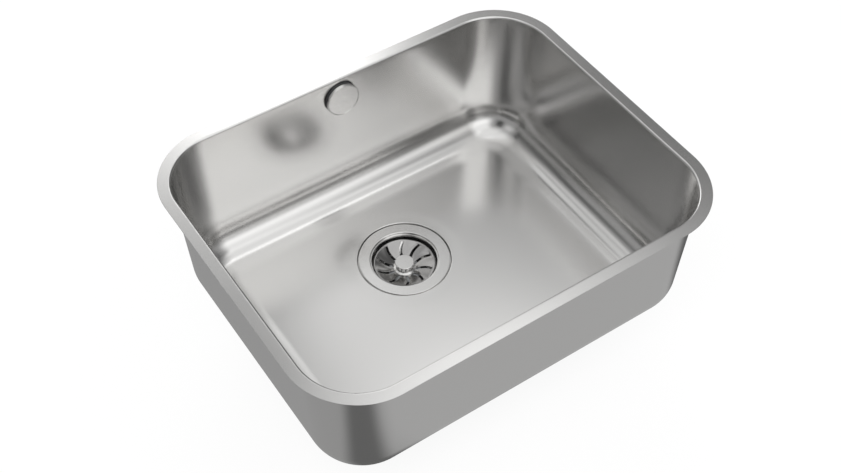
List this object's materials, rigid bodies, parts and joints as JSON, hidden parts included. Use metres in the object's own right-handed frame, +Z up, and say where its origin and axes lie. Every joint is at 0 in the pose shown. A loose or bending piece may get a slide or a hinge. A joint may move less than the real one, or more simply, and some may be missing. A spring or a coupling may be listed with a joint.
{
  "type": "undermount kitchen sink",
  "caption": "Rectangular pressed steel undermount bowl with a flat rim, round corners, offset basket strainer waste, and a covered overflow piped to it.",
  "frame": {"origin": "centre of the rim's top face, which is pressed against the underside of the worktop", "axes": "+X along the long side of the rim, +Y towards the back wall with the overflow, +Z up out of the bowl"},
  "size_m": [0.53, 0.4442, 0.2546],
  "materials": {
    "bowl_steel": "satin-brushed stainless steel",
    "waste_steel": "pressed stainless steel, fine satin",
    "basket_steel": "polished pressed stainless steel",
    "knob_steel": "turned and polished steel",
    "cap_steel": "satin stainless steel",
    "screw_steel": "plain stainless screw",
    "insert_brass": "turned brass",
    "waste_plastic": "light grey moulded polypropylene",
    "pipe_plastic": "grey moulded polypropylene",
    "nut_plastic": "white moulded polypropylene",
    "collar_plastic": "dark grey moulded plastic",
    "stem_plastic": "grey moulded acetal",
    "washer_plastic": "pale polyethylene sealing washer",
    "seal_rubber": "black rubber seal",
    "foam_seal": "closed-cell sponge rubber",
    "damping_sheet": "grey bitumen damping sheet"
  },
  "bodies": {
    "sink": {"bowl": "bowl_steel", "sound_pad": "damping_sheet", "waste_flange": "waste_steel", "flange_gasket": "seal_rubber", "body_gasket": "seal_rubber", "waste_body": "waste_plastic", "screw_insert": "insert_brass", "clamp_screw": "screw_steel", "overflow_collar": "collar_plastic", "overflow_screw": "screw_steel", "overflow_gasket": "foam_seal", "overflow_elbow": "waste_plastic", "overflow_pipe": "pipe_plastic", "upper_pipe_nut": "nut_plastic", "lower_pipe_nut": "nut_plastic", "upper_pipe_washer": "washer_plastic", "lower_pipe_washer": "washer_plastic"},
    "stopper": {"basket_stem": "stem_plastic", "basket_seal": "seal_rubber", "stem_o_ring": "seal_rubber"},
    "basket": {"strainer_basket": "basket_steel", "basket_knob": "knob_steel", "knob_nut": "screw_steel"},
    "overflow_cover": {"overflow_cap": "cap_steel"}
  },
  "joints": [
    {"name": "basket_lift", "type": "slide", "parent": "sink", "child": "stopper", "axis": [0, 0, 1], "range_m": [0, 0.24]},
    {"name": "basket_turn", "type": "hinge", "parent": "stopper", "child": "basket", "pos_m": [-0.008, 0.05, -0.19], "axis": [0, 0, 1], "continuous": true},
    {"name": "overflow_cap_pull", "type": "slide", "parent": "sink", "child": "overflow_cover", "axis": [0, -0.9987, 0.0506], "range_m": [0, 0.03]}
  ]
}
